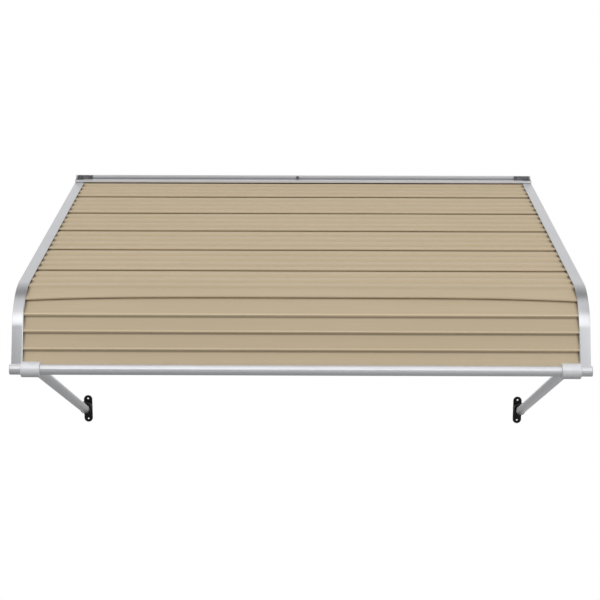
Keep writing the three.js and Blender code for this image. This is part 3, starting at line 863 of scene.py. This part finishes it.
def make_collar(side, name, material):
    """A sleeve on the bar with a spigot that the strut slides over."""
    bore = bar_radius + SEAT_GAP
    far = COLLAR_OUTER_ROUND
    near = COLLAR_INNER_ROUND
    profile = [(0, 0)]
    profile += arc(collar_radius - far, far, far, -90, 0, 8)
    profile += arc(collar_radius - near, COLLAR_LENGTH - near, near, 0, 90, 5)
    profile.append((0, COLLAR_LENGTH))
    centre = Vector((side * collar_outer, bar_axis.y, bar_axis.z))
    sleeve = loose(f"sleeve_{name}", *turned(profile, centre, (-side, 0, 0)))
    bar, along = strut_line(side)[1:3]
    rod_radius = bar_radius - TUBE_WALL - SEAT_GAP
    rod = [(0, 0), (rod_radius, 0), (rod_radius, SPIGOT_REACH - 0.001), (rod_radius - 0.001, SPIGOT_REACH)]
    rod.append((0, SPIGOT_REACH))
    spigot = loose(f"spigot_{name}", *turned(rod, bar, along, 64))
    space = [(0, 0), (bore, 0), (bore, 4 * COLLAR_LENGTH), (0, 4 * COLLAR_LENGTH)]
    middle = Vector((side * (collar_outer + COLLAR_LENGTH), bar_axis.y, bar_axis.z))
    hollow = loose(f"hollow_{name}", *turned(space, middle, (-side, 0, 0)))
    body = combined(sleeve, [spigot], "UNION")
    body = combined(body, [hollow], "DIFFERENCE")
    body.name = f"bar_sleeve_{name}"
    dressed(body, material, f"bar_collar_{name}")


# Struts
def strut_line(side):
    """(socket, bar, direction from the bar to the corner, corner) of a strut's centre line."""
    socket = Vector((side * (half_width - SOCKET_INSET), -SOCKET_PLATE - SEAT_GAP, -SOCKET_DROP))
    bar = Vector((side * (half_width - STRUT_BAR_INSET), bar_axis.y, bar_axis.z))
    corner = socket + Vector((0, -STRUT_STUB, 0))
    return socket, bar, (corner - bar).normalized(), corner


def strut_stations(side):
    """(point, direction) along the strut, from the bend to the wall."""
    socket, _, along, corner = strut_line(side)
    outward_way = Vector((0, 1, 0))
    turn = along.angle(outward_way)
    tangent = STRUT_BEND * math.tan(turn / 2)
    start = corner - along * tangent
    swing = along.cross(outward_way).normalized()
    inward = swing.cross(along).normalized()
    centre = start + inward * STRUT_BEND
    stations = []
    steps = 20
    for step in range(steps + 1):
        rotation = Matrix.Rotation(turn * step / steps, 3, swing)
        stations.append((centre + rotation @ (start - centre), rotation @ along))
    stations.append((socket, outward_way))
    return stations


def strut_skin(side, radius):
    """Rings of one surface of the tube, from its coped front end to the wall."""
    _, bar, along, _ = strut_line(side)
    sideways = Vector((1, 0, 0))
    cope = collar_radius + SEAT_GAP
    first = []
    for spoke in spokes_about(along, sideways, radius):
        # Where a line along the tube leaves the sleeve's round: the far root of a square equation
        y, z = spoke.y, spoke.z
        a = along.y ** 2 + along.z ** 2
        b = 2 * (y * along.y + z * along.z)
        c = y * y + z * z - cope * cope
        reach = (-b + math.sqrt(b * b - 4 * a * c)) / (2 * a)
        first.append(bar + spoke + along * reach)
    rings = [first]
    for point, way in strut_stations(side):
        rings.append([point + spoke for spoke in spokes_about(way, sideways, radius)])
    return rings


def spokes_about(axis, sideways, radius):
    across = (sideways - axis * sideways.dot(axis)).normalized()
    up = axis.cross(across)
    spokes = []
    for step in range(ROUND):
        angle = 2 * math.pi * step / ROUND
        spokes.append((across * math.cos(angle) + up * math.sin(angle)) * radius)
    return spokes


def make_strut(side, name):
    outer = strut_skin(side, bar_radius)
    inner = strut_skin(side, bar_radius - TUBE_WALL)
    vertices, faces = loft(outer + inner[::-1], looped=True)
    material = silver(f"strut_silver_{name}", tone=1.1, along=strut_line(side)[2])
    piece(f"strut_tube_{name}", vertices, faces, material, f"strut_{name}")


# Wall sockets
def plate_outline(x, z):
    """Oblong plate with round ends."""
    half = SOCKET_WIDTH / 2
    rise = SOCKET_HEIGHT / 2 - half
    points = []
    for quarter, centre_z in ((0, z + rise), (math.pi, z - rise)):
        for step in range(25):
            angle = quarter + math.pi * step / 24
            points.append(Vector((x + half * math.cos(angle), centre_z + half * math.sin(angle))))
    return points


def plate_solid(name, outline, depth, edge):
    """A flat plate on the wall with softened front edges."""
    centre = sum(outline, Vector((0, 0))) / len(outline)
    rings = [[(point.x, 0, point.y) for point in outline]]
    steps = 5
    for step in range(steps + 1):
        angle = math.pi / 2 * step / steps
        shrink = edge * (1 - math.cos(angle))
        out = depth - edge + edge * math.sin(angle)
        ring = []
        for point in outline:
            inward = (centre - point).normalized() * shrink
            ring.append((point.x + inward.x, -out, point.y + inward.y))
        rings.append(ring)
    return loose(name, *loft(rings))


def make_socket(side, name, material):
    x = side * (half_width - SOCKET_INSET)
    plate_x = x - side * SOCKET_SHIFT
    plate_z = -SOCKET_DROP - SOCKET_PLATE_DROP
    body = plate_solid(f"plate_{name}", plate_outline(plate_x, plate_z), SOCKET_PLATE, 0.0012)
    bore = bar_radius + SEAT_GAP
    cup = bore + SOCKET_CUP_WALL
    tip = SOCKET_PLATE + SOCKET_CUP_DEPTH
    rim = 0.0008
    seat = Vector((x, 0, -SOCKET_DROP))
    shell = [(0, SEAT_GAP), (cup, SEAT_GAP)]
    shell += arc(cup - rim, tip - rim, rim, 0, 90, 5)
    shell += [(bore, tip), (bore, SOCKET_PLATE), (0, SOCKET_PLATE)]
    cup_solid = loose(f"cup_{name}", *turned(shell, seat, (0, -1, 0)))
    body = combined(body, [cup_solid], "UNION")
    hole = SOCKET_HOLE / 2
    wide = hole + 0.0012
    spare = 0.001
    depth = SOCKET_PLATE + 2 * spare
    sink = [(0, 0), (hole, 0), (hole, depth - 0.0022), (wide, depth - spare), (wide, depth), (0, depth)]
    holes = []
    for end in (-1, 1):
        centre = Vector((plate_x, spare, plate_z + end * SOCKET_HOLES / 2))
        holes.append(loose(f"hole_{name}_{end}", *turned(sink, centre, (0, -1, 0), 48)))
    mouth = bore + 0.0032
    clear = tip + 0.01
    space = [(0, SOCKET_PLATE), (bore, SOCKET_PLATE), (bore, tip - 0.004), (mouth, tip), (mouth, clear)]
    space.append((0, clear))
    holes.append(loose(f"bore_{name}", *turned(space, seat, (0, -1, 0))))
    body = combined(body, holes, "DIFFERENCE")
    body.name = f"strut_socket_{name}"
    dressed(body, material, f"wall_socket_{name}")


# Screws
def thread_profile(shank, length):
    """A coarse self-tapping thread drawn as stacked rings, from the head down to the tip."""
    crest = shank / 2
    root = crest * 0.78
    pitch = shank * 0.32
    point_length = shank * 0.4
    points = []
    turns = int((length - point_length) / pitch)
    for turn in range(turns):
        height = turn * pitch
        points += [(root, height + pitch * 0.1), (crest, height + pitch * 0.5), (root, height + pitch * 0.9)]
    points += [(root, turns * pitch), (root * 0.35, length), (0, length)]
    return points


def make_screw(name, node, kind, length, seat, direction, material):
    """A round-headed screw with a cross recess; its shank points along direction."""
    width, height, shank = kind
    radius = width / 2
    profile = [(0, -height)]
    profile += [(radius * 0.45, -height), (radius * 0.7, -height * 0.93), (radius * 0.88, -height * 0.72)]
    profile += [(radius * 0.98, -height * 0.4), (radius, -height * 0.12), (radius * 0.98, 0)]
    profile += thread_profile(shank, length)
    body = loose(name, *turned(profile, seat, direction, 40))
    slots = []
    axis = Vector(direction).normalized()
    across = axis.orthogonal().normalized()
    for turn in (0, 1):
        way = Matrix.Rotation(turn * math.pi / 2, 3, axis) @ across
        slots.append(cross_slot(f"{name}_slot_{turn}", seat - axis * height, axis, way, radius))
    body = combined(body, slots, "DIFFERENCE")
    body.name = name
    dressed(body, material, node, math.radians(38))


def cross_slot(name, top, axis, way, radius):
    """One wedge of a cross recess."""
    side = axis.cross(way)
    half_length = radius * 0.55
    half_width_top = radius * 0.11
    deep = radius * 0.42
    rings = []
    for depth, share in ((-0.0004, 1.1), (deep, 0.45)):
        ring = []
        for u, v in ((-1, -1), (1, -1), (1, 1), (-1, 1)):
            ring.append(top + axis * depth + way * u * half_length * share + side * v * half_width_top)
        rings.append(ring)
    return loose(name, *loft(rings))


def wall_screws(material):
    standoff = SEAT_GAP + BRACKET_PLATE
    places = [
        ("left", -(half_width - WALL_SCREW_INSET), standoff),
        ("centre", CENTRE_SCREW_SHIFT, 0),
        ("right", half_width - WALL_SCREW_INSET, standoff),
    ]
    for name, x, stand in places:
        z = ledge_z + WALL_SCREW[0] / 2 + SEAT_GAP
        seat = Vector((x, -HEADER_WALL - stand, z))
        length = HEADER_WALL + stand
        make_wall_screw(f"wall_screw_{name}", f"header_screw_{name}", WALL_SCREW, length, seat, material)


def make_wall_screw(name, node, kind, length, seat, material):
    """A short hex-headed wall screw with its washer flange, as far as it shows."""
    width, height, shank = kind
    radius = width / 2
    flange = [(0, -height * 0.3), (radius * 0.9, -height * 0.3), (radius, -height * 0.12), (radius, 0)]
    flange += [(shank / 2, 0), (shank / 2, length), (0, length)]
    body = loose(name, *turned(flange, seat, (0, 1, 0), 48))
    hex_radius = radius * 0.72
    corners = []
    for step in range(6):
        angle = math.pi / 3 * step
        corners.append((hex_radius * math.cos(angle), hex_radius * math.sin(angle), radius * 0.06))
    outline = rounded_line(corners, closed=True)
    centre = sum(outline, Vector((0, 0))) / len(outline)
    rings = []
    # A straight hex with a bevelled top
    for out, share in ((height * 0.2, 1), (height * 0.85, 1), (height, 0.86)):
        rings.append([
            (seat.x + (point.x - centre.x) * share, seat.y - out, seat.z + (point.y - centre.y) * share)
            for point in outline
        ])
    head = loose(f"{name}_head", *loft(rings))
    body = combined(body, [head], "UNION")
    body.name = name
    dressed(body, material, node, math.radians(38))


def hidden_screws(material):
    """The small screws under the rafters, in the bar and in the collars."""
    slat_length = rafter_depth - nose_depth - PAN_STEP - SHEET - SEAT_GAP
    for side, name in SIDES:
        x = side * (half_width - SLAT_SCREW_INSET)
        seat = Vector((x, -HEADER_LEDGE / 2, -header_top))
        length = HEADER_WALL + HEADER_LEDGE * math.tan(SLOPE_ANGLE) + SEAT_GAP + RAFTER_WALL + 0.002
        node = f"rafter_screw_{name}"
        make_screw(f"rafter_fixing_{name}", node, SMALL_SCREW, length, seat, (0, 0, 1), material)
        for slat in range(SLATS):
            run = slat_noses(slat)[1] + BEVEL_RUN
            y, z, _ = face_point(run, rafter_depth)
            node = f"slat_screw_{slat + 1}_{name}"
            label = f"slat_fixing_{slat + 1}_{name}"
            make_screw(label, node, SMALL_SCREW, slat_length, Vector((x, y, z)), face_normal(run), material)
        y, z, _ = face_point(bar_run, RAFTER_WALL)
        seat = Vector((side * (half_width - RAFTER_FACE / 2), y, z))
        length = RAFTER_WALL + SEAT_GAP + TUBE_WALL + 0.004
        node = f"bar_screw_{name}"
        make_screw(f"bar_fixing_{name}", node, SMALL_SCREW, length, seat, face_normal(bar_run), material)
        seat = Vector((side * (collar_outer - 0.012), bar_axis.y + collar_radius, bar_axis.z))
        length = collar_radius - bar_radius + TUBE_WALL + 0.003
        node = f"collar_screw_{name}"
        make_screw(f"collar_fixing_{name}", node, SMALL_SCREW, length, seat, (0, -1, 0), material)


def make_canopy():
    # The bar's raised tone is a painted highlight on its top, and painted shade darkens it below
    bar_look = {"tone": 1.5, "metal": 0.75, "polish": 0.33, "painted_shade": bar_underside_shade}
    drawn_across = silver("bar_silver", squeeze=(0.015, 1, 1), **bar_look)
    drawn_down = silver("rafter_silver", tone=0.9, squeeze=(1, 0.015, 0.015))
    # The header gets painted shade in the corner between its web and its ledge
    header_look = {"tone": 1.22, "metal": 0.5, "polish": 0.30, "painted_shade": header_corner_shade}
    header_silver = silver("header_silver", squeeze=(0.015, 1, 1), **header_look)
    blasted = moulded_silver()
    black = black_moulding()
    zinc = grey_steel()
    steel = screw_steel()
    make_slats(tan_sheet())
    make_header(header_silver)
    make_bar(drawn_across)
    for side, name in SIDES:
        make_rafter(side, name, drawn_down)
        make_bracket(side, name, zinc)
        make_plug(side, name, blasted)
        make_collar(side, name, blasted)
        make_strut(side, name)
        make_socket(side, name, black)
    wall_screws(steel)
    hidden_screws(steel)


# Camera, light and floor
CAMERA_PLACE = Vector((0.0197, -4.4375, 0.6329))
CAMERA_LENS = 88.64
CAMERA_PITCH = math.radians(12.7)
CAMERA_YAW = math.radians(0.3667)
CAMERA_ROLL = math.radians(0.0967)
FLOOR_DROP = 2.25
FLOOR_HALF = 30
# The floor's tones where it is only mirrored, on the left and on the right, and as it lights the canopy
FLOOR_LEFT = 0.40
FLOOR_RIGHT = 0.50
FLOOR_BOUNCE = 0.20
KEY_TILT = math.radians(42.5)
KEY_REACH = 5.0
KEY_SIZE = (7.0, 2.1)
KEY_POWER = 46
KEY_ASIDE = 0.4


def make_camera():
    data = bpy.data.cameras.new("camera")
    data.lens = CAMERA_LENS
    data.sensor_width = 36
    data.clip_end = 200
    camera = bpy.data.objects.new("camera", data)
    turn = Matrix.Rotation(CAMERA_YAW, 4, "Z") @ Matrix.Rotation(math.pi / 2 - CAMERA_PITCH, 4, "X")
    camera.matrix_world = Matrix.Translation(CAMERA_PLACE) @ turn @ Matrix.Rotation(CAMERA_ROLL, 4, "Z")
    bpy.context.scene.collection.objects.link(camera)
    bpy.context.scene.camera = camera


def ray(finish, kind):
    return finish.node("ShaderNodeLightPath", output=f"Is {kind} Ray")


# The studio above the canopy: (angle from the wall side over the top to the front, in degrees, brightness)
STUDIO = (
    (-90, 0.95),
    (36, 0.97),
    (50, 0.76),
    (72, 0.38),
    (84, 0.38),
    (87.5, 1.0),
    (118, 1.2),
    (146, 1.2),
    (150, 1.5),
    (154, 1.5),
    (156, 0.46),
    (185, 0.42),
    (270, 0.4),
)

# In reflections the studio's front is darker on the left and the part above it is darker on the right,
# by these shares for a direction straight to that side, and never darker than LEAST_LEVEL
FRONT_TILT = 3.0
HIGH_TILT = 1.3
LEAST_LEVEL = 0.15
# Where the studio's front begins, where the part above it rises and ends, and where the white low band ends
FRONT_START = (152.5, 155.5)
HIGH_START = (100.0, 116.0)
HIGH_END = (142.0, 149.0)
LOW_END = (30.0, 38.0)


def make_world():
    world = bpy.data.worlds.new("studio")
    bpy.context.scene.world = world
    finish = Finish(world)
    way = finish.node("ShaderNodeTexCoord", output="Generated")
    aside = way.coordinate("X")
    angle = way.coordinate("Z").maths("ARCTAN2", way.coordinate("Y")) * (180 / math.pi)
    whole = angle + angle.maths("LESS_THAN", -90.0) * 360
    stops = [((degrees + 90) / 360, level) for degrees, level in STUDIO]
    turn = (whole + 90) * (1 / 360)
    dome = finish.node("ShaderNodeValToRGB", {"stops": stops}, {"Fac": turn}, output="Color")
    front = aside * whole.between(*FRONT_START) * FRONT_TILT
    above = whole.between(*HIGH_START) - whole.between(*HIGH_END)
    high = aside.maths("MAXIMUM", 0.0) * above * HIGH_TILT
    tilt = (1 + (front - high) * ray(finish, "Glossy")).maths("MAXIMUM", LEAST_LEVEL)
    level = finish.node("ShaderNodeCombineXYZ", {}, {"X": tilt, "Y": tilt, "Z": tilt})
    dome = finish.vector("MULTIPLY", dome, level)
    low = 1 - angle.maths("ABSOLUTE").between(*LOW_END)
    seen = ray(finish, "Camera") + ray(finish, "Transmission") + ray(finish, "Glossy") * low
    mask = seen.maths("MINIMUM", 1.0)
    colour = finish.blend(mask, dome, (1, 1, 1, 1))
    light = finish.node("ShaderNodeBackground", {}, {"Color": colour})
    finish.node("ShaderNodeOutputWorld", {}, {"Surface": light})


def make_key():
    data = bpy.data.lights.new("softbox", "AREA")
    data.shape = "RECTANGLE"
    data.size, data.size_y = KEY_SIZE
    data.energy = KEY_POWER
    lamp = bpy.data.objects.new("softbox", data)
    aim = Vector((0, bar_axis.y, bar_axis.z))
    way = Vector((0, -math.cos(KEY_TILT), math.sin(KEY_TILT)))
    place = aim + way * KEY_REACH + Vector((KEY_ASIDE, 0, 0))
    lamp.location = place
    lamp.rotation_euler = (place - aim).to_track_quat("Z", "Y").to_euler()
    bpy.context.scene.collection.objects.link(lamp)


def make_floor():
    """A pale floor far below, which fades to the white background away from the canopy."""
    z = -FLOOR_DROP
    corners = [(-FLOOR_HALF, -FLOOR_HALF, z), (FLOOR_HALF, -FLOOR_HALF, z), (FLOOR_HALF, FLOOR_HALF, z)]
    corners.append((-FLOOR_HALF, FLOOR_HALF, z))
    floor = loose("floor", corners, [(0, 1, 2, 3)])
    finish = Finish(bpy.data.materials.new("pale_floor"))
    place = finish.node("ShaderNodeNewGeometry", output="Position")
    reach = finish.vector("DISTANCE", place, (0, -0.5, z), output="Value")
    cloud = finish.grain(place, 3, detail=2)
    seen = ray(finish, "Camera") + ray(finish, "Transmission")
    tone = finish.blend(cloud, grey(0.80), grey(0.83))
    unseen = finish.blend(place.coordinate("X").between(-1.2, 1.2), grey(FLOOR_LEFT), grey(FLOOR_RIGHT))
    unseen = finish.blend(ray(finish, "Diffuse"), unseen, grey(FLOOR_BOUNCE))
    tone = finish.blend(seen, unseen, tone)
    matte = finish.node("ShaderNodeBsdfDiffuse", {}, {"Color": tone})
    white = finish.node("ShaderNodeEmission", {}, {"Color": (1, 1, 1, 1), "Strength": 1.0})
    background = seen * reach.between(1.0, 2.4) + ray(finish, "Glossy") * reach.between(6.0, 12.0)
    shader = finish.node("ShaderNodeMixShader", {}, {0: background.maths("MINIMUM", 1.0), 1: matte, 2: white})
    floor.data.materials.append(finish.surface(shader))


make_camera()
make_canopy()
make_world()
make_key()
make_floor()
bpy.context.scene.view_settings.view_transform = "Standard"
